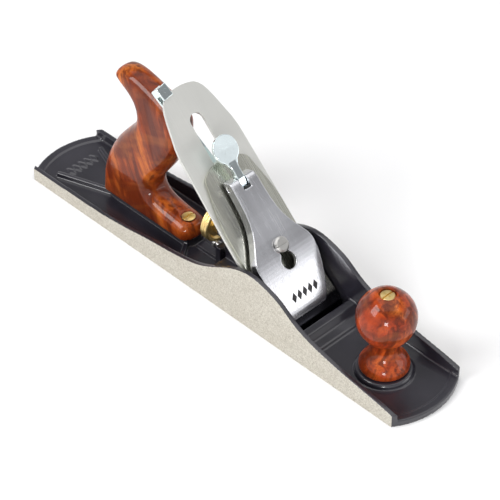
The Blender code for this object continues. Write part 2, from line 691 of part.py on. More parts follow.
def build_frog():
    back = BED_UNDER - FROG_PLATE_T
    base_z = SEAT_REAR_Z + GAP
    front_z = SEAT_FRONT_Z + GAP
    toe_s = front_z * math.sqrt(2) - BED_UNDER
    step = SEAT_STEP_X + FROG_TRAVEL + 0.5 * MM
    waist = frog_xz(FROG_TOP - 14 * MM, back)
    profile = [frog_xz(toe_s, BED_UNDER), frog_xz(FROG_TOP, BED_UNDER), frog_xz(FROG_TOP, back),
               waist, (FROG_REAR_X, waist[1] - 4 * MM),
               (FROG_REAR_X, base_z), (step, base_z), (step, front_z)]
    frog = prism("frog", profile, -FROG_HALF_W, FROG_HALF_W, "Y")
    face = mirrored([(0, FROG_HALF_W), (58 * MM, FROG_HALF_W), (84 * MM, FROG_TOP_HALF_W),
                     (FROG_TOP - 4 * MM, FROG_TOP_HALF_W), (FROG_TOP, FROG_TOP_HALF_W - 4 * MM),
                     (FROG_TOP + WALL_T, FROG_TOP_HALF_W - 4 * MM)])
    keep(frog, prism("frog_face", face, -BODY_W * 2, BODY_W, "Z", BED))
    web = 9.5 * MM
    hollow = [(FROG_REAR_X - WALL_T, base_z + 6 * MM), (SEAT_STEP_X - 18 * MM, base_z + 6 * MM),
              frog_xz(62 * MM, back - 1 * MM), frog_xz(96 * MM, back - 1 * MM),
              (FROG_REAR_X - WALL_T, frog_xz(96 * MM, back - 1 * MM)[1])]
    for sign in (-1, 1):
        low, high = sorted((sign * web, sign * FROG_HALF_W * 1.2))
        cut(frog, prism("hollow", hollow, low, high, "Y"))
    yoke_at = bed_point(YOKE_S, 0, YOKE_N)
    slot_half = YOKE_W / 2 + GAP * 2
    reach = 5.4 * MM
    channel = [frog_xz(YOKE_S - reach, WALL_T), frog_xz(YOKE_S + reach, WALL_T),
               frog_xz(YOKE_S + reach, YOKE_N - 1 * MM), (yoke_at.x - 6 * MM, yoke_at.z + 6.5 * MM),
               (FROG_REAR_X - WALL_T, yoke_at.z + 4.5 * MM),
               (FROG_REAR_X - WALL_T, STUD_Z + STUD_R + 2 * MM),
               (yoke_at.x + 2 * MM, yoke_at.z - 6.5 * MM), frog_xz(YOKE_S - reach - 1 * MM, YOKE_N)]
    cut(frog, prism("yoke_channel", channel, -slot_half, slot_half, "Y"))
    cut(frog, cylinder("yoke_pin_hole", YOKE_PIN_R + GAP, -BODY_W, BODY_W, along_y(yoke_at), COARSE))
    recess_half = CHANNEL_HALF_W
    cut(frog, box("lateral_recess", (-FROG_TOP - WALL_T, -recess_half, LATERAL_N - GAP),
                  (-CHANNEL_LO, recess_half, WALL_T), BED))
    cut(frog, cylinder("lateral_pin_hole", LATERAL_PIN_R + GAP, LATERAL_N - 3.6 * MM, WALL_T,
                       bed_axis(LATERAL_S)))
    head = slot_outline(CAP_SCREW_S - CAP_SCREW_HEAD_R - 2 * MM, CAP_SCREW_S + CAP_SCREW_HEAD_R + 2 * MM,
                        2 * CAP_SCREW_HEAD_R + 1 * MM)
    cut(frog, prism("cap_screw_recess", head, BED_UNDER - CAP_SCREW_HEAD_H - 0.6 * MM, WALL_T, "Z", BED))
    cut(frog, cylinder("lever_screw_hole", LEVER_SCREW_R + GAP, BED_UNDER - 12 * MM, WALL_T,
                       bed_axis(LEVER_SCREW_S)))
    for sign in (-1, 1):
        at = upright(FROG_SCREW_X, sign * FROG_SCREW_Y)
        cut(frog, cylinder("screw_pocket", WASHER_R + FROG_TRAVEL + GAP, FROG_SHELF_Z, BODY_W * 2, at),
            cylinder("screw_slot", FROG_SCREW_R + FROG_TRAVEL + GAP, 0, BODY_W, at))
    cut(frog, cylinder("stud_hole", STUD_R + GAP, -WALL_T, 14 * MM, along_x(FROG_REAR_X, 0, STUD_Z)))
    cut(frog, box("adjust_notch", (FROG_REAR_X - WALL_T, -4.6 * MM, 0),
                  (FROG_REAR_X + 4.4 * MM, 4.6 * MM, ADJ_Z + 4.6 * MM)))
    cut(frog, cylinder("plate_screw_hole", PLATE_SCREW_R + GAP, -WALL_T, 8 * MM,
                       along_x(FROG_REAR_X, 0, PLATE_SCREW_Z), COARSE))
    return finish(frog, "iron")


def build_frog_fittings():
    for side_name, sign in (("right", -1), ("left", 1)):
        at = upright(FROG_SCREW_X, sign * FROG_SCREW_Y)
        low = FROG_SHELF_Z + GAP
        hole = FROG_SCREW_R + GAP
        washer = lathe("frog_washer_" + side_name,
                       [(hole, low), (WASHER_R, low), (WASHER_R, low + WASHER_T), (hole, low + WASHER_T)],
                       at, COARSE)
        finish(washer, "steel", at.translation)
        seat = low + WASHER_T + GAP
        top = seat + 3.2 * MM
        screw = lathe("frog_screw_" + side_name,
                      [(0, 3.5 * MM), (FROG_SCREW_R, 3.5 * MM), (FROG_SCREW_R, seat),
                       (FROG_SCREW_HEAD_R, seat), (FROG_SCREW_HEAD_R, top - 0.6 * MM),
                       (FROG_SCREW_HEAD_R - 0.6 * MM, top), (0, top)], at, COARSE)
        driver_slot(screw, at, top, FROG_SCREW_HEAD_R)
        finish(screw, "steel", at.translation)

    stud_len = FROG_REAR_X + 13 * MM - (NUT_REAR_X - 4.5 * MM)
    frame = along_x(NUT_REAR_X - 4.5 * MM, 0, STUD_Z)
    stud = lathe("depth_stud", [(0, 0), (STUD_R - 0.6 * MM, 0), (STUD_R, 0.6 * MM), (STUD_R, stud_len),
                                (0, stud_len)], frame)
    finish(stud, "steel")

    face = FROG_REAR_X - GAP - PLATE_T
    half, top, foot = 6.5 * MM, PLATE_SCREW_Z + 4.4 * MM, ADJ_Z - 3.6 * MM
    outline = [(-half, top), (-half, foot), (half, foot), (half, top)]
    plate = prism("frog_adjusting_plate", outline, face, face + PLATE_T, "X")
    neck = ADJ_R - 0.8 * MM + GAP
    cut(plate, box("fork", (face - PLATE_T, -neck, 0), (face + 3 * PLATE_T, neck, ADJ_Z)),
        cylinder("fork_end", neck, -2 * PLATE_T, 3 * PLATE_T, along_x(face, 0, ADJ_Z), COARSE),
        cylinder("plate_hole", PLATE_SCREW_R + GAP, -2 * PLATE_T, 3 * PLATE_T,
                 along_x(face, 0, PLATE_SCREW_Z), COARSE))
    finish(plate, "steel")
    head_h = 1.6 * MM
    start = face - GAP - head_h
    frame = along_x(start, 0, PLATE_SCREW_Z)
    end = FROG_REAR_X + 7 * MM - start
    screw = lathe("frog_plate_screw",
                  [(0, 0), (2.2 * MM, 0), (2.9 * MM, 0.6 * MM), (2.9 * MM, head_h),
                   (PLATE_SCREW_R, head_h), (PLATE_SCREW_R, end), (0, end)], frame, COARSE)
    driver_slot(screw, frame, 0, 2.9 * MM, "Y", 0.8 * MM)
    finish(screw, "steel")

    rear = LUG_X - LUG_T / 2 - 7 * MM
    frame = along_x(rear, 0, ADJ_Z)
    groove_lo, groove_hi = face - GAP - rear, face + PLATE_T + GAP - rear
    neck = ADJ_R - 0.8 * MM
    screw = lathe("frog_adjusting_screw",
                  [(0, 0), (ADJ_HEAD_R - 0.5 * MM, 0), (ADJ_HEAD_R, 0.5 * MM), (ADJ_HEAD_R, 2.6 * MM),
                   (ADJ_R, 2.6 * MM), (ADJ_R, groove_lo), (neck, groove_lo), (neck, groove_hi),
                   (ADJ_R, groove_hi), (ADJ_R, groove_hi + 1.4 * MM), (0, groove_hi + 1.4 * MM)], frame,
                  COARSE)
    driver_slot(screw, frame, 0, ADJ_HEAD_R, "Y", 1.1 * MM)
    finish(screw, "steel", (rear, 0, ADJ_Z))

    screw_top = CAP_FACE_N + GAP
    frame = bed_axis(LEVER_SCREW_S)
    low = BED_UNDER - 11 * MM
    crest = screw_top + LEVER_SCREW_HEAD_H
    screw = lathe("lever_cap_screw",
                  [(0, low), (LEVER_SCREW_R, low), (LEVER_SCREW_R, screw_top),
                   (LEVER_SCREW_HEAD_R, screw_top), (LEVER_SCREW_HEAD_R, crest - 0.8 * MM),
                   (LEVER_SCREW_HEAD_R - 1.2 * MM, crest), (0, crest)], frame)
    driver_slot(screw, frame, crest, LEVER_SCREW_HEAD_R)
    finish(screw, "nickel")


# ---- depth nut and yoke ----
GROOVE_REAR = NUT_REAR_X + NUT_RIM_T + 2.2 * MM


def build_depth_nut():
    frame = along_x(NUT_REAR_X, 0, STUD_Z)
    bore = STUD_R + GAP
    rim = NUT_RIM_T
    groove = GROOVE_REAR - NUT_REAR_X
    end = groove + GROOVE_W + NUT_FLANGE_T
    dish = 1.8 * MM
    profile = [(bore, dish), (NUT_R - 4 * MM, dish), (NUT_R - 3 * MM, 0), (NUT_R - 1.0 * MM, 0),
               (NUT_R, 0.8 * MM)]
    for k in range(2):
        at = (1.7 + 2.0 * k) * MM
        profile += [(NUT_R, at), (NUT_R - 0.5 * MM, at + 0.3 * MM), (NUT_R - 0.5 * MM, at + 0.6 * MM),
                    (NUT_R, at + 0.9 * MM)]
    profile += [(NUT_R, rim - 0.6 * MM), (NUT_R - 0.8 * MM, rim), (NUT_R - 2.6 * MM, rim),
                (NUT_R - 3.8 * MM, rim - dish), (NUT_HUB_R, rim - dish), (NUT_HUB_R, groove),
                (NUT_NECK_R, groove), (NUT_NECK_R, groove + GROOVE_W), (NUT_HUB_R, groove + GROOVE_W),
                (NUT_HUB_R, end), (bore, end)]
    nut = lathe("depth_nut", profile, frame, FINE)
    return finish(nut, "brass", (NUT_REAR_X, 0, STUD_Z))


def build_yoke():
    pivot = bed_point(YOKE_S, 0, YOKE_N)
    mid = GROOVE_REAR + GROOVE_W / 2
    half = FORK_T / 2
    finger = FINGER_T / 2
    tip_n = CAP_IRON_T + 1.4 * MM
    under = -IRON_T
    arm = [frog_xz(YOKE_S - finger, tip_n - 0.6 * MM), frog_xz(YOKE_S - finger + 0.6 * MM, tip_n),
           frog_xz(YOKE_S + finger - 0.6 * MM, tip_n), frog_xz(YOKE_S + finger, tip_n - 0.6 * MM),
           frog_xz(YOKE_S + finger, under - 2 * MM), frog_xz(YOKE_S + 4.0 * MM, YOKE_N + 1 * MM),
           frog_xz(YOKE_S + 3.4 * MM, YOKE_N - 2.4 * MM),
           (mid + half + 4.5 * MM, pivot.z + 1.6 * MM), (mid - half, pivot.z - 1.2 * MM),
           (mid - half, STUD_Z + NUT_NECK_R + FORK_DROP + 1 * MM),
           (mid + half, STUD_Z + NUT_NECK_R + FORK_DROP + 1 * MM),
           (mid + half, pivot.z - 4.6 * MM), (pivot.x - 1 * MM, pivot.z - 4 * MM),
           frog_xz(YOKE_S - 4.0 * MM, YOKE_N + 1 * MM), frog_xz(YOKE_S - finger, under - 2 * MM)]
    yoke = prism("yoke", arm, -YOKE_W / 2, YOKE_W / 2, "Y")
    inner = NUT_NECK_R + 0.7 * MM
    outer = inner + 2.6 * MM
    bottom = STUD_Z - 2.5 * MM
    bridge = STUD_Z + NUT_NECK_R + FORK_DROP
    fork = [(-outer, bottom), (-inner, bottom), (-inner, bridge), (inner, bridge), (inner, bottom),
            (outer, bottom), (outer, bridge + 1.4 * MM), (YOKE_W / 2, bridge + 4.4 * MM),
            (-YOKE_W / 2, bridge + 4.4 * MM), (-outer, bridge + 1.4 * MM)]
    join(yoke, prism("fork", fork, mid - half, mid + half, "X"))
    cut(yoke, cylinder("pivot_hole", YOKE_PIN_R + GAP, -YOKE_W, YOKE_W, along_y(pivot), COARSE))
    finish(yoke, "steel", pivot)
    length = FROG_HALF_W * 0.62
    pin = cylinder("yoke_pin", YOKE_PIN_R, -length, length, along_y(pivot), COARSE)
    finish(pin, "steel")


# ---- lateral lever ----
def lateral_frame():
    swing = Matrix.Rotation(LATERAL_ANGLE, 4, "Z")
    return BED @ Matrix.Translation((-LATERAL_S, 0, 0)) @ swing


def build_lateral():
    frame = lateral_frame()
    low, high = LATERAL_N, LATERAL_N + LATERAL_T
    reach = LATERAL_TIP - LATERAL_S
    foot = LATERAL_S - ROLLER_S + 4.6 * MM
    w, tab = LATERAL_W / 2, TAB_W / 2
    edge = [(foot, 2.6 * MM), (foot - 3 * MM, w), (-8 * MM, w + 1.2 * MM), (-20 * MM, w - 0.6 * MM),
            (-reach + 16 * MM, w - 0.6 * MM), (-reach + 12 * MM, tab), (-reach + 1 * MM, tab),
            (-reach, tab - 1 * MM)]
    outline = edge + [(x, -y) for x, y in reversed(edge)]
    lever = prism("lateral_lever", outline, low, high, "Z", frame)
    t = LATERAL_T
    side = box("tab_side", (-reach, -tab, low + t / 2), (-reach + TAB_SIDE_L, -tab + t, TAB_N), frame)
    top = box("tab_top", (-reach, -tab, TAB_N - t), (-reach + TAB_L, tab, TAB_N), frame)
    join(lever, side, top)
    soften(lever, 0.4 * MM, 2, 50)
    pivot = cylinder("pivot_hole", LATERAL_PIN_R + GAP, low - t, high + t, frame)
    roller = cylinder("roller_hole", 1.4 * MM + GAP, low - t, high + t,
                      frame @ upright(LATERAL_S - ROLLER_S, 0), COARSE)
    cut(lever, pivot, roller)
    origin = bed_point(LATERAL_S, 0, 0)
    finish(lever, "chrome", origin)
    at = frame @ upright(LATERAL_S - ROLLER_S, 0)
    wheel = lathe("lateral_roller",
                  [(0, low - 0.1 * MM), (1.4 * MM, low - 0.1 * MM), (1.4 * MM, high + GAP),
                   (ROLLER_R, high + GAP), (ROLLER_R, -0.5 * MM), (ROLLER_R - 0.3 * MM, -0.2 * MM),
                   (0, -0.2 * MM)], at)
    finish(wheel, "steel", origin)
    head_lo, head_hi = high + GAP, BED_UNDER
    pin = lathe("lateral_pivot_pin", [(0, LATERAL_N - 3.3 * MM), (LATERAL_PIN_R, LATERAL_N - 3.3 * MM),
                                      (LATERAL_PIN_R, head_lo), (3.4 * MM, head_lo), (3.4 * MM, head_hi),
                                      (0, head_hi)], bed_axis(LATERAL_S))
    finish(pin, "steel")


# ---- irons ----
def build_irons():
    w = IRON_W / 2
    half = [(s * MM, w * f) for s, f in
            ((IRON_EDGE / MM, 1), (80, 1), (138, 0.957), (142, 0.94), (146.4, 0.915), (154, 0.845),
             (163, 0.765), (169, 0.70), (173, 0.635), (176, 0.555), (178, 0.465))]
    tip = IRON_TOP
    half += [(tip - 1.4 * MM, w * 0.37), (tip - 0.6 * MM, w * 0.24), (tip - 0.1 * MM, w * 0.1)]
    iron = prism("plane_iron", mirrored(half), -IRON_T, 0, "Z", BED)
    edge = [frog_xz(IRON_EDGE - 0.1 * MM, -0.15 * MM),
            frog_xz(IRON_EDGE + IRON_BEVEL, -IRON_T - 0.01 * MM),
            frog_xz(IRON_EDGE - 5 * MM, -IRON_T - 5 * MM), frog_xz(IRON_EDGE - 5 * MM, -0.15 * MM)]
    cut(iron, prism("edge_bevel", edge, -BODY_W, BODY_W, "Y"),
        prism("long_slot", slot_outline(SLOT_LO, SLOT_HI, SLOT_W), -2 * IRON_T, IRON_T, "Z", BED))
    finish(iron, "steel")

    t = CAP_IRON_T
    rest = GAP / MM
    low = [(1.6, rest), (2.2, rest), (5, 1.0), (8, 1.75), (HUMP_S / MM, HUMP_N / MM), (14, 1.8),
           (19, 1.1), (25, 0.45), (29, rest), (60, rest), (CAP_IRON_TOP / MM, rest)]
    under = spline(millimetres(low), 3)
    upper = []
    for s, n in under:
        thin = min(1.0, 0.30 + s / (8 * MM))
        upper.append((s, n + t * thin))
    side = [frog_xz(*p) for p in under] + [frog_xz(*p) for p in reversed(upper)]
    cap = prism("cap_iron", side, -w, w, "Y")
    face = mirrored([(0, w * 0.95), (84 * MM, w * 0.94), (93 * MM, w * 0.905), (102 * MM, w * 0.84),
                     (112 * MM, w * 0.755), (117 * MM, w * 0.715), (119.6 * MM, w * 0.68),
                     (121.4 * MM, w * 0.6), (123.4 * MM, w * 0.46), (124.8 * MM, w * 0.3),
                     (CAP_IRON_TOP - 0.4 * MM, w * 0.16), (CAP_IRON_TOP, w * 0.05)])
    keep(cap, prism("cap_face", face, -BODY_W, BODY_W, "Z", BED))
    f, slot_w = FINGER_SLOT / 2, YOKE_W / 2 + 2 * GAP
    screw_slot = slot_outline(LEVER_SCREW_S - 6 * MM, LEVER_SCREW_S + 6 * MM, 9 * MM)
    cut(cap, cylinder("screw_hole", CAP_SCREW_R + GAP, -t, 3 * t, bed_axis(CAP_SCREW_S)),
        prism("lever_screw_hole", screw_slot, -t, 3 * t, "Z", BED),
        box("finger_slot", (-YOKE_S - f, -slot_w, -t), (-YOKE_S + f, slot_w, 3 * t), BED))
    finish(cap, "steel")

    head_lo = BED_UNDER - CAP_SCREW_HEAD_H
    frame = bed_axis(CAP_SCREW_S)
    screw = lathe("cap_iron_screw",
                  [(0, head_lo), (CAP_SCREW_HEAD_R - 0.5 * MM, head_lo),
                   (CAP_SCREW_HEAD_R, head_lo + 0.5 * MM), (CAP_SCREW_HEAD_R, BED_UNDER),
                   (CAP_SCREW_R, BED_UNDER), (CAP_SCREW_R, t), (0, t)], frame)
    driver_slot(screw, frame, head_lo, CAP_SCREW_HEAD_R, "Y", 1.0 * MM)
    finish(screw, "steel")


# ---- lever cap ----
CAP_SHAPE = [                   # (distance up the bed, share of the half width)
    (12.0, 0.50), (12.3, 0.555), (13.2, 0.60), (15.4, 0.645), (19.3, 0.705), (24, 0.775),
    (29, 0.845), (34, 0.902), (39, 0.948), (44, 0.985), (49, 1.0), (53, 0.992), (56.5, 0.955),
    (60, 0.885), (65, 0.765), (70, 0.655), (76, 0.552), (82, 0.49), (89, 0.455), (97, 0.435),
    (105, 0.425), (112.4, 0.42),
]
CAP_CROWN = [                   # (distance up the bed, height above the cap iron) of the lower face
    (CAP_LO / MM, 2.9), (16, 4.6), (22, 6.1), (30, 7.5), (38, 8.8), (46, 9.8),
]


def cap_side(top, under):
    return [frog_xz(*p) for p in under] + [frog_xz(*p) for p in reversed(top)]


def build_lever_cap():
    face_n, seat = CAP_FACE_N, CAP_SEAT_N
    crown = [(s * MM, seat + n * MM) for s, n in CAP_CROWN]
    top = spline([*crown, (54 * MM, face_n), (66 * MM, face_n),
                  (84 * MM, face_n + 0.4 * MM), (100 * MM, face_n + 0.4 * MM),
                  (107.4 * MM, face_n + 0.1 * MM), (109.6 * MM, face_n - 0.9 * MM)], 3)
    top.append((CAP_HI, seat + 4.1 * MM))
    low_n = seat + 2.7 * MM
    under = [(CAP_LO, HUMP_N + CAP_IRON_T + 0.5 * MM), (20 * MM, seat + 2.5 * MM), (46 * MM, low_n),
             (100 * MM, low_n), (CAP_HI, low_n)]
    cap = prism("lever_cap", cap_side(top, under), -BODY_W / 2, BODY_W / 2, "Y")
    half = [(s * MM, w * CAP_W / 2) for s, w in CAP_SHAPE]
    keep(cap, prism("cap_outline", mirrored(half), -BODY_W, BODY_W, "Z", BED))
    soften(cap, 0.7 * MM, 2, 45)
    inner = [(s, max(w - CAP_WALL, 1 * MM)) for s, w in half if 30 * MM < s < 100 * MM]
    inner += [(NOTCH_LO - 1 * MM, inner[-1][1])]
    roof = [(30 * MM, seat + 4.3 * MM), (40 * MM, seat + 6.1 * MM), (54 * MM, face_n - 2.4 * MM),
            (NOTCH_LO, face_n - 2.2 * MM), (NOTCH_LO, 0), (30 * MM, 0)]
    hollow = prism("hollow", mirrored(inner), -BODY_W, BODY_W, "Z", BED)
    keep(hollow, prism("hollow_roof", [frog_xz(*p) for p in roof], -BODY_W, BODY_W, "Y"))
    n = NOTCH_W / 2
    notch = box("notch", (-CAP_HI - WALL_T, -n, -WALL_T), (-NOTCH_LO, n, BODY_W), BED)
    keyhole = prism("keyhole", slot_outline(KEY_S - 2 * MM, LEVER_SCREW_S + LEVER_SCREW_R + 0.5 * MM,
                                            2 * LEVER_SCREW_R + 1.0 * MM), -WALL_T, BODY_W, "Z", BED)
    join(keyhole, cylinder("key_round", KEY_R, -WALL_T, BODY_W, bed_axis(KEY_S)))
    pin_at = along_y(bed_point(CAM_S, 0, CAM_N))
    pin_hole = cylinder("pin_hole", CAM_PIN_R + GAP, -BODY_W, BODY_W, pin_at, COARSE)
    rivet_at = bed_axis(SPRING_S + 4 * MM)
    rivet_hole = cylinder("rivet_hole", RIVET_R + GAP, -WALL_T, face_n - 1.0 * MM, rivet_at, COARSE)
    cut(cap, hollow, notch, keyhole, pin_hole, rivet_hole)
    finish(cap, "nickel", bed_point(LEVER_SCREW_S, 0, 0))

    w = CAP_W / 2 * 0.42 - 0.3 * MM
    pin = cylinder("cam_pin", CAM_PIN_R, -w, w, pin_at, COARSE)
    finish(pin, "steel")

    roof_n = face_n - 2.4 * MM - GAP - SPRING_T
    path = spline([(SPRING_S, roof_n), (SPRING_S + 8 * MM, roof_n),
                   (SPRING_S + 12.5 * MM, roof_n - 1.6 * MM), (NOTCH_LO - 4 * MM, seat + 2.9 * MM),
                   (NOTCH_LO - 1 * MM, seat + 0.9 * MM), (NOTCH_LO + 2.4 * MM, seat + 0.4 * MM),
                   (NOTCH_LO + 6.4 * MM, seat + 0.3 * MM), (NOTCH_LO + 10 * MM, seat + 0.6 * MM)], 3)
    top_side = []
    for i, (s, n_mid) in enumerate(path):
        a = path[max(i - 1, 0)]
        b = path[min(i + 1, len(path) - 1)]
        d = Vector((b[0] - a[0], b[1] - a[1])).normalized()
        top_side.append((s - d.y * SPRING_T, n_mid + d.x * SPRING_T))
    spring = prism("lever_cap_spring", cap_side(top_side, path), -SPRING_W / 2, SPRING_W / 2, "Y")
    cut(spring, cylinder("spring_hole", RIVET_R + GAP, 0, BODY_W, rivet_at, COARSE))
    finish(spring, "steel")
    head, end, head_r = roof_n - GAP, face_n - 1.3 * MM, 2 * RIVET_R
    rivet = lathe("spring_rivet",
                  [(0, head - 1.2 * MM), (head_r - 0.8 * MM, head - 1.2 * MM), (head_r, head - 0.5 * MM),
                   (head_r, head), (RIVET_R, head), (RIVET_R, end), (0, end)], rivet_at, COARSE)
    finish(rivet, "steel")


def build_cam_lever():
    pivot = bed_point(CAM_S, 0, CAM_N)
    lobe = Matrix.Translation((bed_point(CAM_S, 0, CAM_N - CAM_THROW)))
    half = CAM_W / 2
    cam = cylinder("cam_lever", CAM_R, -half, half, along_y(lobe.translation))
    edge_n = DISC_N + DISC_LIFT
    low_s, high_s = DISC_S - 1.6 * DISC_R, DISC_S + 1.2 * DISC_R
    neck = [(CAM_S - 1.5 * MM, CAM_N + 2.6 * MM), (CAM_S + 3.0 * MM, CAM_N + 3.9 * MM),
            (DISC_S - 6 * MM, DISC_N + DISC_T + 0.1 * MM), (DISC_S - 6 * MM, DISC_N + 0.6 * MM),
            (CAM_S + 9 * MM, DISC_N - 1.2 * MM), (CAM_S + 2.5 * MM, CAM_N - 1.6 * MM)]
    join(cam, prism("neck", [frog_xz(*p) for p in neck], -half, half, "Y"))
    flare = [(-(DISC_S - DISC_R * 1.35), half), (-(DISC_S - DISC_R * 0.72), half * 2.0),
             (-(DISC_S - DISC_R * 0.4), half * 2.0), (-(DISC_S - DISC_R * 0.4), -half * 2.0),
             (-(DISC_S - DISC_R * 0.72), -half * 2.0), (-(DISC_S - DISC_R * 1.35), -half)]
    middle_n = DISC_N + DISC_LIFT * 0.35
    slab = [frog_xz(low_s, DISC_N - 0.6 * MM), frog_xz(DISC_S, middle_n), frog_xz(high_s, edge_n),
            frog_xz(high_s, edge_n + DISC_T), frog_xz(DISC_S, middle_n + DISC_T),
            frog_xz(low_s, DISC_N + DISC_T - 0.6 * MM)]
    plate = prism("disc", slab, -DISC_R * 1.2, DISC_R * 1.2, "Y")
    round_cut = cylinder("disc_round", DISC_R, 0, BODY_W, bed_axis(DISC_S), FINE)
    join(round_cut, prism("flare", flare, 0, BODY_W, "Z", BED))
    keep(plate, round_cut)
    join(cam, plate)
    soften(cam, 0.5 * MM, 2, 45)
    cut(cam, cylinder("pin_hole", CAM_PIN_R + GAP, -BODY_W, BODY_W, along_y(pivot), COARSE))
    finish(cam, "chrome", pivot)


build_body()
build_tote()
build_tote_fittings()
build_knob()
build_frog()
build_frog_fittings()
build_depth_nut()
build_yoke()
build_lateral()
build_irons()
build_lever_cap()
build_cam_lever()
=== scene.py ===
"""Looks of the bench hand plane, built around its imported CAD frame.

Metres, +X to the toe, +Y to the left cheek, +Z up.
"""
import json
import math

import bmesh
import bpy
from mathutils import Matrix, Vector

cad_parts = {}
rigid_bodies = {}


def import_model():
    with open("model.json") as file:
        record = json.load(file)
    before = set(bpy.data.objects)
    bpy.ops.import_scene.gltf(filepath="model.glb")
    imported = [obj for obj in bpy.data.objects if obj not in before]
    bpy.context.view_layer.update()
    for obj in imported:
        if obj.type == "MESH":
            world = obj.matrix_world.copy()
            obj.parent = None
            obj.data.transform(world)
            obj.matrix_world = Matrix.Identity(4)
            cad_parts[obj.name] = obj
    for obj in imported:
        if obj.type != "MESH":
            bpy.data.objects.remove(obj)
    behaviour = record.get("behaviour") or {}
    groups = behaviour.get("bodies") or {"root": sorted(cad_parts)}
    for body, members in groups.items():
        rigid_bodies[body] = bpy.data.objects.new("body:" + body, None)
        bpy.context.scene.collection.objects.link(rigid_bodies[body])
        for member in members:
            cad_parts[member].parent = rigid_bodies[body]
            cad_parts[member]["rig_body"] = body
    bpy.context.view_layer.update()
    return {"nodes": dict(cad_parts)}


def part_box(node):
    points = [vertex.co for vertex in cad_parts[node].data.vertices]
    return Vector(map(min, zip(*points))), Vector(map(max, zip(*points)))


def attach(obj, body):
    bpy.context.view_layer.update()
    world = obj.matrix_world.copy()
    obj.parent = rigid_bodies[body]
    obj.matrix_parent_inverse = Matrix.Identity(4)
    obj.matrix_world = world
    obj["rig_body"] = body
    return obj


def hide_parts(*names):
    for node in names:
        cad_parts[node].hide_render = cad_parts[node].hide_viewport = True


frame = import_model()

MM = 0.001
WELD = 0.002 * MM               # points of a CAD solid closer than this are one
FLAT = math.radians(0.4)        # faces this close to one plane are joined
SHARP = math.radians(32)        # a steeper edge is rounded over; if it stays steeper, shaded hard
BEVEL_STEPS = 2                 # faces across a rounded edge
ROOM_FOR_BEVEL = 2.2            # shortest edge that is rounded over, in roundings

BED_MOUTH = 73.6 * MM           # where the bed meets the sole
ALONG_BED = (0.0, -math.radians(45), 0.0)
UP_BED = Vector((-1, 0, 1)).normalized()
OFF_BED = Vector((1, 0, 1)).normalized()


# ---- camera ----
TARGET = Vector((0.0, 0.01214, 0.01379))
CAMERA_DIR = Vector((0.53739, -0.52767, 0.65786))
CAMERA_DISTANCE = 1.61635
LENS = 174.97                   # in mm, as is the sensor's width
SENSOR = 36.0

cam_data = bpy.data.cameras.new("camera")
cam_data.sensor_width = SENSOR
cam_data.lens = LENS
cam = bpy.data.objects.new("camera", cam_data)
bpy.context.scene.collection.objects.link(cam)
cam.location = TARGET + CAMERA_DIR * CAMERA_DISTANCE
cam.rotation_mode = "QUATERNION"
cam.rotation_quaternion = (-CAMERA_DIR).to_track_quat("-Z", "Y")
bpy.context.scene.camera = cam


# ---- node materials ----
class Surface:
    """A Principled material with short calls for its procedural nodes, all in object space."""

    def __init__(self, name, **sockets):
        self.material = bpy.data.materials.new(name)
        self.material.use_nodes = True
        self.tree = self.material.node_tree
        self.shader = self.tree.nodes["Principled BSDF"]
        for key, value in sockets.items():
            self.shader.inputs[key.replace("_", " ")].default_value = value
        self.coords = self.tree.nodes.new("ShaderNodeTexCoord").outputs["Object"]
        self.heights = []

    def node(self, kind, inputs=None, **settings):
        made = self.tree.nodes.new("ShaderNode" + kind)
        for key, value in settings.items():
            setattr(made, key, value)
        for key, value in (inputs or {}).items():
            self.feed(made.inputs[key], value)
        return made

    def feed(self, socket, value):
        if isinstance(value, bpy.types.NodeSocket):
            self.tree.links.new(value, socket)
        else:
            socket.default_value = value

    def stretched(self, scale, turn=(0, 0, 0), shift=(0, 0, 0)):
        """Coordinates turned and then scaled, so that a pattern runs along the turned X axis."""
        turned = self.node("Mapping", {"Vector": self.coords, "Rotation": turn, "Location": shift})
        return self.node("Mapping", {"Vector": turned.outputs["Vector"], "Scale": scale}).outputs["Vector"]

    def noise(self, scale, detail=3.0, rough=0.5, vector=None, distortion=0.0):
        made = self.node("TexNoise", {"Vector": vector or self.coords, "Scale": scale, "Detail": detail,
                                      "Roughness": rough, "Distortion": distortion})
        return made.outputs["Fac"]

    def ramp(self, value, stops):
        made = self.node("ValToRGB", {"Fac": value})
        elements = made.color_ramp.elements
        while len(elements) < len(stops):
            elements.new(0.5)
        for element, (place, colour) in zip(elements, stops):
            element.position = place
            element.color = (*colour, 1)
        return made.outputs["Color"]

    def span(self, value, low, high, to_low, to_high):
        made = self.node("MapRange", {"Value": value, "From Min": low, "From Max": high,
                                      "To Min": to_low, "To Max": to_high})
        return made.outputs["Result"]

    def maths(self, operation, a, b):
        made = self.node("Math", operation=operation)
        self.feed(made.inputs[0], a)
        self.feed(made.inputs[1], b)
        return made.outputs[0]

    def mix(self, factor, a, b):
        """Mix two colours; the Mix node's colour sockets are its inputs 6 and 7 and its output 2."""
        made = self.node("Mix", data_type="RGBA")
        self.feed(made.inputs[0], factor)
        self.feed(made.inputs[6], a if isinstance(a, bpy.types.NodeSocket) else (*a, 1))
        self.feed(made.inputs[7], b if isinstance(b, bpy.types.NodeSocket) else (*b, 1))
        return made.outputs[2]

    def edge(self):
        """1 on the edges that refined() rounded over, 0 elsewhere."""
        return self.node("Attribute", attribute_name="edge").outputs["Fac"]

    def bump(self, height, distance, strength):
        """Add a relief; distance is its full height in metres."""
        self.heights.append((height, distance, strength))

    def done(self, colour, roughness):
        self.feed(self.shader.inputs["Base Color"], colour)
        self.feed(self.shader.inputs["Roughness"], roughness)
        normal = None
        for height, distance, strength in self.heights:
            made = self.node("Bump", {"Height": height, "Strength": strength, "Distance": distance})
            if normal is not None:
                self.feed(made.inputs["Normal"], normal)
            normal = made.outputs["Normal"]
        if normal is not None:
            self.feed(self.shader.inputs["Normal"], normal)
        return self.material


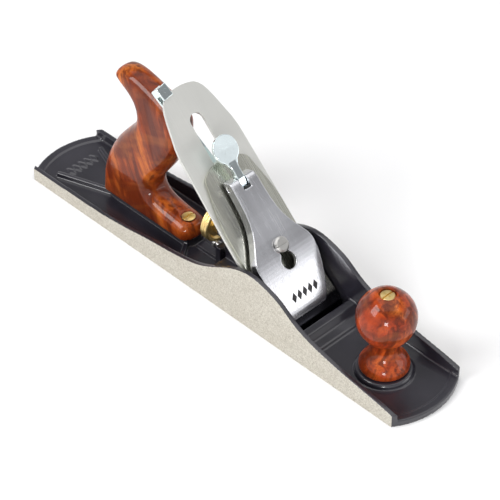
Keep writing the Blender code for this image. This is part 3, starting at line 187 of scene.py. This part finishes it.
def japanning():
    """Black baked enamel with a faint cloud, dust and edges worn grey."""
    s = Surface("japanned_iron", Metallic=0.0, Specular_IOR_Level=0.5,
                Coat_Weight=0.7, Coat_Roughness=0.09)
    cloud = s.noise(28, 4)
    colour = s.ramp(cloud, [(0.3, (0.012, 0.011, 0.017)), (0.7, (0.025, 0.023, 0.033))])
    dust = s.span(s.noise(1400, 2), 0.64, 0.74, 0.0, 0.15)
    colour = s.mix(dust, colour, (0.05, 0.045, 0.055))
    worn = s.maths("MULTIPLY", s.edge(), s.span(s.noise(300, 3), 0.42, 0.62, 0.0, 0.55))
    colour = s.mix(worn, colour, (0.075, 0.07, 0.08))
    s.bump(s.noise(60, 2), 0.10 * MM, 0.2)
    s.bump(s.noise(700, 2), 0.01 * MM, 0.35)
    return s.done(colour, s.span(cloud, 0.3, 0.7, 0.30, 0.40))


def ground_iron():
    """Ground cast iron: fine lines along the sole, the specks of the iron's grain, and stain."""
    s = Surface("ground_iron", Metallic=0.35, Specular_IOR_Level=0.4)
    lines = s.noise(1.0, 5, 0.6, s.stretched((30, 1500, 1500)))
    speck = s.noise(1500, 3, 0.65)
    stain = s.noise(38, 5, 0.6)
    colour = s.ramp(speck, [(0.34, (0.29, 0.26, 0.21)), (0.47, (0.48, 0.45, 0.39)),
                            (0.62, (0.62, 0.60, 0.53))])
    colour = s.mix(s.span(lines, 0.35, 0.65, 0.0, 0.35), colour, (0.43, 0.40, 0.34))
    colour = s.mix(s.span(stain, 0.5, 0.75, 0.0, 0.30), colour, (0.40, 0.36, 0.30))
    s.bump(lines, 0.02 * MM, 0.4)
    s.bump(speck, 0.02 * MM, 0.4)
    return s.done(colour, s.span(stain, 0.3, 0.7, 0.42, 0.56))


# painted shade: the dark tone laid on the cap iron's end at the mouth, under the lever cap's lower edge,
# and the length it fades in over
MOUTH_SHADE_TONE = (0.018, 0.018, 0.022)
MOUTH_SHADE_FADE = 3 * MM


def brushed(name, tone, rough, turn, spread, shade=0.12, across=1900, depth=0.006, nose=None,
            metallic=1.0):
    """Metal with fine lines along the turned X axis.

    spread is how much the lines vary the roughness, shade how dark they and the cloud get,
    across how many there are, and nose how far up the bed a dark end of painted shade reaches.
    """
    s = Surface(name, Metallic=metallic)
    lines = s.noise(1.0, 4, 0.6, s.stretched((22, across, across), turn))
    broad = s.noise(1.0, 3, 0.5, s.stretched((9, 120, 120), turn))
    cloud = s.noise(38, 4)
    dark = tuple(c * (1 - shade) for c in tone)
    colour = s.mix(s.span(cloud, 0.3, 0.7, 0.0, 1.0), dark, tone)
    line_tone = tuple(c * (1 - 1.4 * shade) for c in tone)
    colour = s.mix(s.span(lines, 0.35, 0.65, 0.0, 0.5), colour, line_tone)
    colour = s.mix(s.maths("MULTIPLY", s.edge(), 0.4), colour, tuple(min(1, c * 1.2) for c in tone))
    # painted shade: the steel's end near the mouth is darkened, standing for the shade under the lever
    # cap's lower edge
    if nose:
        place = s.node("SeparateXYZ", {"Vector": s.coords})
        ahead = s.maths("SUBTRACT", place.outputs["X"], BED_MOUTH)
        up_bed = s.maths("SUBTRACT", place.outputs["Z"], ahead)    # times the root of 2, on 45 degrees
        painted_shade = s.span(up_bed, (nose + MOUTH_SHADE_FADE) * math.sqrt(2), nose * math.sqrt(2), 0.0, 1.0)
        colour = s.mix(painted_shade, colour, MOUTH_SHADE_TONE)
    s.bump(lines, depth * MM, 0.6)
    rough_map = s.maths("ADD", s.span(lines, 0.3, 0.7, -spread, spread),
                        s.span(broad, 0.3, 0.7, rough - 0.03, rough + 0.05))
    return s.done(colour, rough_map)


def plated(name, tone, rough):
    """Bright plate with a soft cloud, a few handling marks and thin edges."""
    s = Surface(name, Metallic=1.0)
    cloud = s.noise(70, 4)
    mark = s.noise(1.0, 3, 0.6, s.stretched((90, 700, 700), (0.4, 0.9, 0.2)))
    colour = s.mix(s.span(cloud, 0.35, 0.65, 0.0, 1.0), tuple(c * 0.9 for c in tone), tone)
    s.bump(cloud, 0.05 * MM, 0.2)
    return s.done(colour, s.span(mark, 0.5, 0.72, rough, rough + 0.14))


def brass():
    """Turned brass, a little dull, brighter on its edges."""
    s = Surface("brass", Metallic=1.0)
    cloud = s.noise(160, 4)
    fine = s.noise(1.0, 3, 0.6, s.stretched((300, 2400, 2400), (0.3, 0.5, 0.2)))
    colour = s.ramp(cloud, [(0.3, (0.52, 0.32, 0.08)), (0.55, (0.78, 0.53, 0.16)),
                            (0.75, (0.90, 0.66, 0.26))])
    colour = s.mix(s.maths("MULTIPLY", s.edge(), 0.5), colour, (0.98, 0.80, 0.42))
    s.bump(fine, 0.003 * MM, 0.4)
    return s.done(colour, s.span(cloud, 0.3, 0.7, 0.30, 0.42))


FIGURE = [                      # (place in the swirl, colour), dark to light
    (0.30, (0.11, 0.013, 0.003)), (0.43, (0.27, 0.036, 0.006)), (0.53, (0.45, 0.085, 0.012)),
    (0.62, (0.60, 0.15, 0.022)), (0.76, (0.74, 0.24, 0.04)),
]
STREAK_TONE = (0.075, 0.010, 0.003)
BLOTCH_TONE = (0.080, 0.011, 0.003)
CURL_TONE = (0.55, 0.17, 0.03)
FIBRE_TONE = (0.20, 0.036, 0.010)
PORE_TONE = (0.04, 0.008, 0.003)


def wood(name, turn, shift, tint, share, blotch_size):
    """Lacquered figured hardwood; the grain runs along the turned X axis and tint is its stain."""
    s = Surface(name, Specular_IOR_Level=0.06, Coat_Weight=0.5, Coat_Roughness=0.06)
    swirl = s.noise(1.0, 4, 0.5, s.stretched((13, 62, 62), turn, shift), 1.0)
    streak = s.noise(1.0, 3, 0.5, s.stretched((22, 190, 190), turn, shift), 0.9)
    blotch = s.noise(blotch_size, 4, 0.6, s.stretched((1, 1.6, 1.6), turn, shift), 0.4)
    curl = s.noise(1.0, 2, 0.5, s.stretched((95, 26, 26), turn, shift), 0.7)
    fibre = s.noise(1.0, 3, 0.6, s.stretched((45, 1300, 1300), turn, shift))
    pores = s.noise(1.0, 2, 0.5, s.stretched((110, 2300, 2300), turn, shift))
    colour = s.mix(share, s.ramp(swirl, FIGURE), tint)
    colour = s.mix(s.span(streak, 0.46, 0.62, 0.0, 0.80), colour, STREAK_TONE)
    colour = s.mix(s.span(blotch, 0.45, 0.62, 0.0, 0.80), colour, BLOTCH_TONE)
    colour = s.mix(s.span(curl, 0.50, 0.75, 0.0, 0.22), colour, CURL_TONE)
    colour = s.mix(s.span(fibre, 0.42, 0.70, 0.0, 0.30), colour, FIBRE_TONE)
    colour = s.mix(s.span(pores, 0.62, 0.72, 0.0, 0.65), colour, PORE_TONE)
    s.bump(fibre, 0.01 * MM, 0.2)
    return s.done(colour, s.span(fibre, 0.3, 0.7, 0.30, 0.42))


TOTE_GRAIN = (0, math.radians(-70), 0)
KNOB_GRAIN = (0, math.radians(72), 0)
MATERIALS = {
    "japan": japanning(),
    "ground": ground_iron(),
    "blade": brushed("blade_steel", (0.61, 0.61, 0.58), 0.40, ALONG_BED, 0.05, metallic=0.75),
    # the cap iron's end near the mouth is darkened with painted shade
    "cap_iron": brushed("cap_iron_steel", (0.60, 0.60, 0.53), 0.24, ALONG_BED, 0.05, nose=14 * MM),
    "cap": brushed("plated_cap", (0.70, 0.705, 0.735), 0.22, ALONG_BED, 0.04, 0.16, 1100, 0.003),
    "chrome": plated("chrome_plate", (0.86, 0.955, 0.965), 0.07),
    "steel": brushed("plain_steel", (0.55, 0.54, 0.52), 0.32, (0, 0, 0), 0.05),
    "brass": brass(),
    "tote_wood": wood("tote_wood", TOTE_GRAIN, (0, 0, 0), (0.22, 0.045, 0.008), 0.35, 30),
    "knob_wood": wood("knob_wood", KNOB_GRAIN, (0.3, 0.2, 0.1), (0.50, 0.055, 0.012), 0.35, 62),
}

# node: (material, edge rounding in mm, body slot)
FINISHES = {
    "knob": ("knob_wood", 0.3, "wood"),
    "tote_nut": ("brass", 0.15, "brass"),
    "knob_nut": ("brass", 0.15, "brass"),
    "tote_toe_screw": ("brass", 0.15, "brass"),
    "depth_nut": ("brass", 0.15, "brass"),
    "plane_iron": ("blade", 0.15, "steel"),
    "cap_iron": ("cap_iron", 0.15, "steel"),
    "cap_iron_screw": ("steel", 0.15, "steel"),
    "lever_cap_screw": ("steel", 0.2, "steel"),
    "lever_cap_spring": ("steel", 0.1, "steel"),
    "spring_rivet": ("steel", 0.1, "steel"),
    "cam_pin": ("steel", 0.1, "steel"),
    "lateral_roller": ("steel", 0.1, "steel"),
    "lateral_pivot_pin": ("steel", 0.1, "steel"),
    "frog_adjusting_screw": ("steel", 0.15, "steel"),
    "frog_adjusting_plate": ("steel", 0.1, "steel"),
    "frog_plate_screw": ("steel", 0.1, "steel"),
    "frog_screw_left": ("steel", 0.2, "steel"),
    "frog_screw_right": ("steel", 0.2, "steel"),
    "frog_washer_left": ("steel", 0.3, "steel"),
    "frog_washer_right": ("steel", 0.3, "steel"),
    "depth_stud": ("steel", 0.1, "steel"),
    "yoke": ("steel", 0.2, "steel"),
    "yoke_pin": ("steel", 0.1, "steel"),
    "tote_rod": ("steel", 0.1, "steel"),
    "knob_rod": ("steel", 0.1, "steel"),
}


def refined(node, material, rounding, slot):
    """A finished copy of a CAD solid: welded, sharp edges rounded over, smooth between them."""
    bm = bmesh.new()
    bm.from_mesh(frame["nodes"][node].data)
    bmesh.ops.remove_doubles(bm, verts=bm.verts, dist=WELD)
    bmesh.ops.dissolve_limit(bm, angle_limit=FLAT, verts=bm.verts, edges=bm.edges)
    layer = bm.verts.layers.float.new("edge")
    shortest = ROOM_FOR_BEVEL * rounding * MM
    sharp = [e for e in bm.edges if len(e.link_faces) == 2 and e.calc_face_angle() > SHARP
             and e.calc_length() > shortest]
    made = bmesh.ops.bevel(bm, geom=sharp, offset=rounding * MM, segments=BEVEL_STEPS, profile=0.5,
                           affect="EDGES", clamp_overlap=True)
    for face in made["faces"]:
        for vert in face.verts:
            vert[layer] = 1.0
    mesh = bpy.data.meshes.new(node)
    bm.to_mesh(mesh)
    bm.free()
    mesh.shade_smooth()
    mesh.set_sharp_from_angle(angle=SHARP)
    mesh.materials.append(MATERIALS[material])
    obj = bpy.data.objects.new(node + "_finished", mesh)
    normals = obj.modifiers.new("normals", "WEIGHTED_NORMAL")
    normals.keep_sharp = True
    bpy.context.scene.collection.objects.link(obj)
    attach(obj, frame["nodes"][node]["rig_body"])
    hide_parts(node)
    return obj


def cast(node, material, voxel, passes, slot):
    """A copy of a CAD solid with evenly rounded edges, as a casting or a hand-shaped piece has."""
    mesh = frame["nodes"][node].data.copy()
    mesh.name = node
    bm = bmesh.new()
    bm.from_mesh(mesh)
    bmesh.ops.remove_doubles(bm, verts=bm.verts, dist=WELD)
    bm.to_mesh(mesh)
    bm.free()
    obj = bpy.data.objects.new(node + "_finished", mesh)
    bpy.context.scene.collection.objects.link(obj)
    remesh = obj.modifiers.new("remesh", "REMESH")
    remesh.mode = "VOXEL"
    remesh.voxel_size = voxel * MM
    remesh.use_smooth_shade = True
    smooth = obj.modifiers.new("smooth", "SMOOTH")
    smooth.factor = 0.5
    smooth.iterations = passes
    graph = bpy.context.evaluated_depsgraph_get()
    done = bpy.data.meshes.new_from_object(obj.evaluated_get(graph))
    obj.modifiers.clear()
    obj.data = done
    done.materials.clear()
    done.materials.append(MATERIALS[material])
    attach(obj, frame["nodes"][node]["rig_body"])
    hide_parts(node)
    return obj


# node: (material, voxel in mm, smoothing passes, body slot)
CAST = {
    "body": ("japan", 0.62, 2, "japanned_iron"),
    "frog": ("japan", 0.4, 1, "japanned_iron"),
    "tote": ("tote_wood", 0.7, 8, "wood"),
    "lever_cap": ("cap", 0.36, 2, "plated_cap"),
    "cam_lever": ("chrome", 0.26, 3, "chrome"),
    "lateral_lever": ("chrome", 0.26, 2, "chrome"),
}
LOOKS = {node: refined(node, *facts) for node, facts in FINISHES.items()}
LOOKS.update({node: cast(node, *facts) for node, facts in CAST.items()})


# ---- the casting's ground faces ----
SKIN = 0.3 * MM                 # how near its outer plane a ground face lies
FACING = 0.9                    # how squarely it faces out


def grind_body(obj):
    """Give the cheeks' outer faces and the sole the ground finish."""
    mesh = obj.data
    mesh.materials.append(MATERIALS["ground"])
    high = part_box("body")[1]
    for poly in mesh.polygons:
        c, n = poly.center, poly.normal
        cheek = abs(n.y) > FACING and abs(c.y) > high.y - SKIN
        sole = n.z < -FACING and c.z < SKIN
        if cheek or sole:
            poly.material_index = 1


grind_body(LOOKS["body"])


# ---- plain mark on the lever cap ----
MARK_PLACE = 25.2 * MM          # up the bed
MARK_SPAN = (-8.6 * MM, 10.4 * MM)
MARK_COUNT = 5
MARK_HALF = 3.5 * MM            # half a lozenge's height up the bed
MARK_BULGE = 0.44               # half its width, and its lean, in steps of the row
MARK_LEAN = 0.12
MARK_PROUD = 0.1 * MM
MARK_DEPTH = 0.4 * MM
ABOVE_CAP = 30 * MM             # where the corners are dropped onto the face from


def enamel():
    """The mark's dull black fill."""
    s = Surface("mark_enamel", Specular_IOR_Level=0.4)
    cloud = s.noise(600, 3)
    colour = s.ramp(cloud, [(0.35, (0.015, 0.014, 0.016)), (0.65, (0.05, 0.048, 0.05))])
    return s.done(colour, s.span(cloud, 0.3, 0.7, 0.35, 0.55))


def cap_mark():
    """A row of dark lozenges let into the lever cap's face."""
    surface = LOOKS["lever_cap"]
    step = (MARK_SPAN[1] - MARK_SPAN[0]) / (MARK_COUNT - 1)
    bm = bmesh.new()
    for k in range(MARK_COUNT):
        y = MARK_SPAN[0] + k * step
        corners = [(MARK_PLACE - MARK_HALF, y - step * MARK_LEAN), (MARK_PLACE, y + step * MARK_BULGE),
                   (MARK_PLACE + MARK_HALF, y + step * MARK_LEAN), (MARK_PLACE, y - step * MARK_BULGE)]
        rings = ([], [])
        for up, side in corners:
            start = Vector((BED_MOUTH, side, 0)) + UP_BED * up + OFF_BED * ABOVE_CAP
            place = surface.ray_cast(start, -OFF_BED)[1]
            rings[0].append(bm.verts.new(place - OFF_BED * MARK_DEPTH))
            rings[1].append(bm.verts.new(place + OFF_BED * MARK_PROUD))
        bm.faces.new(rings[0])
        bm.faces.new(rings[1][::-1])
        for i in range(len(corners)):
            j = (i + 1) % len(corners)
            bm.faces.new((rings[0][i], rings[1][i], rings[1][j], rings[0][j]))
    bmesh.ops.recalc_face_normals(bm, faces=bm.faces)
    mesh = bpy.data.meshes.new("cap_mark")
    bm.to_mesh(mesh)
    bm.free()
    mesh.materials.append(enamel())
    obj = bpy.data.objects.new("cap_mark", mesh)
    bpy.context.scene.collection.objects.link(obj)
    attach(obj, "cap")


cap_mark()


# ---- floor and light ----
FLOOR_HALF = 6.0
FLOOR_DROP = 0.05 * MM


def floor():
    """A plain pale sheet just under the sole."""
    bm = bmesh.new()
    bmesh.ops.create_grid(bm, x_segments=1, y_segments=1, size=FLOOR_HALF)
    mesh = bpy.data.meshes.new("floor")
    bm.to_mesh(mesh)
    bm.free()
    obj = bpy.data.objects.new("floor", mesh)
    obj.location.z = -FLOOR_DROP
    s = Surface("floor_paper", Specular_IOR_Level=0.2)
    mesh.materials.append(s.done((0.92, 0.92, 0.92, 1.0), 0.8))
    bpy.context.scene.collection.objects.link(obj)


def area_light(name, place, aim, size, power):
    """A rectangular lamp at a place, turned to the point it lights."""
    data = bpy.data.lights.new(name, "AREA")
    data.shape = "RECTANGLE"
    data.size, data.size_y = size
    data.energy = power
    obj = bpy.data.objects.new(name, data)
    obj.location = place
    obj.rotation_mode = "QUATERNION"
    obj.rotation_quaternion = (Vector(aim) - Vector(place)).to_track_quat("-Z", "Y")
    bpy.context.scene.collection.objects.link(obj)


# name: (place, point it lights, size, watts)
LIGHTS = {
    "key": ((-0.55, -1.5, 1.35), (0, 0, 0), (1.0, 1.0), 26),
    "top": ((0.2, 0.3, 2.2), (0, 0, 0), (3.2, 3.2), 36),
    "front": ((0.95, -0.93, 0.35), (0, 0, 0.03), (0.26, 0.26), 5),
    "toe_panel": ((1.9, 1.45, 0.55), (0, 0, 0.05), (1.6, 0.5), 5),
}

floor()
for light, facts in LIGHTS.items():
    area_light(light, *facts)

# (sine of the height above the horizon, brightness)
SKY = [(0.0, 0.9), (0.30, 1.0), (0.43, 0.95), (0.52, 0.38), (0.60, 0.30), (0.66, 0.22), (0.85, 0.25),
       (1.0, 0.45)]
SKY_STRENGTH = 0.88
SKY_BLUE = 1.02


def studio(stops, strength):
    """World light that only changes with height, like a white sweep under a darker ceiling."""
    world = bpy.data.worlds.new("studio")
    bpy.context.scene.world = world
    world.use_nodes = True
    tree = world.node_tree
    coords = tree.nodes.new("ShaderNodeTexCoord")
    split = tree.nodes.new("ShaderNodeSeparateXYZ")
    ramp = tree.nodes.new("ShaderNodeValToRGB")
    tree.links.new(coords.outputs["Generated"], split.inputs[0])
    tree.links.new(split.outputs["Z"], ramp.inputs[0])
    elements = ramp.color_ramp.elements
    while len(elements) < len(stops):
        elements.new(0.5)
    for element, (place, grey) in zip(elements, stops):
        element.position = place
        element.color = (grey, grey, grey * SKY_BLUE, 1)
    background = tree.nodes["Background"]
    tree.links.new(ramp.outputs[0], background.inputs["Color"])
    background.inputs["Strength"].default_value = strength


studio(SKY, SKY_STRENGTH)
bpy.context.scene.view_settings.view_transform = "Standard"
